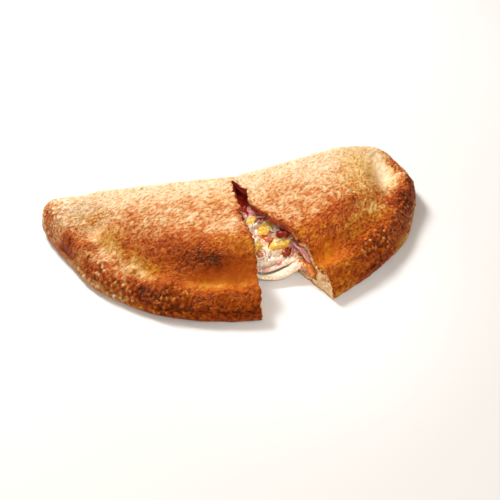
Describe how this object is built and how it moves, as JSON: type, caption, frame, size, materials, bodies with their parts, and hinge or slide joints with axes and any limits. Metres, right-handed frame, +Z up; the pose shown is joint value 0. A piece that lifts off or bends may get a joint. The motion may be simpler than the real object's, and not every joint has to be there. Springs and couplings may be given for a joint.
{
  "type": "panzerotto",
  "caption": "Half-moon folded pizza torn open across the middle, its halves joined by the fold and bridged by melted cheese with ham, pineapple and tomato.",
  "frame": {"origin": "centre of the bounding box at floor level, on the surface the panzerotto lies on", "axes": "+X runs along the two halves from the left tip to the right tip, +Y points to the fold, so the tear opens towards -Y, +Z is up"},
  "size_m": [0.3086, 0.1604, 0.0405],
  "materials": {
    "crust": "baked golden-brown dough, matte and grainy with small blisters",
    "cheese": "melted cheese with tomato sauce, moist and glossy",
    "ham": "cooked ham, moist and smooth",
    "pineapple": "wet fruit, fibrous and translucent",
    "tomato": "cooked tomato, wet and glossy"
  },
  "bodies": {
    "root": {"crust": "crust", "filling": "cheese", "ham_slice_1": "ham", "ham_slice_2": "ham", "ham_slice_3": "ham", "pineapple_chunk_1": "pineapple", "pineapple_chunk_2": "pineapple", "pineapple_chunk_3": "pineapple", "pineapple_chunk_4": "pineapple", "tomato_piece_1": "tomato", "tomato_piece_2": "tomato", "tomato_piece_3": "tomato", "tomato_piece_4": "tomato"}
  },
  "joints": []
}
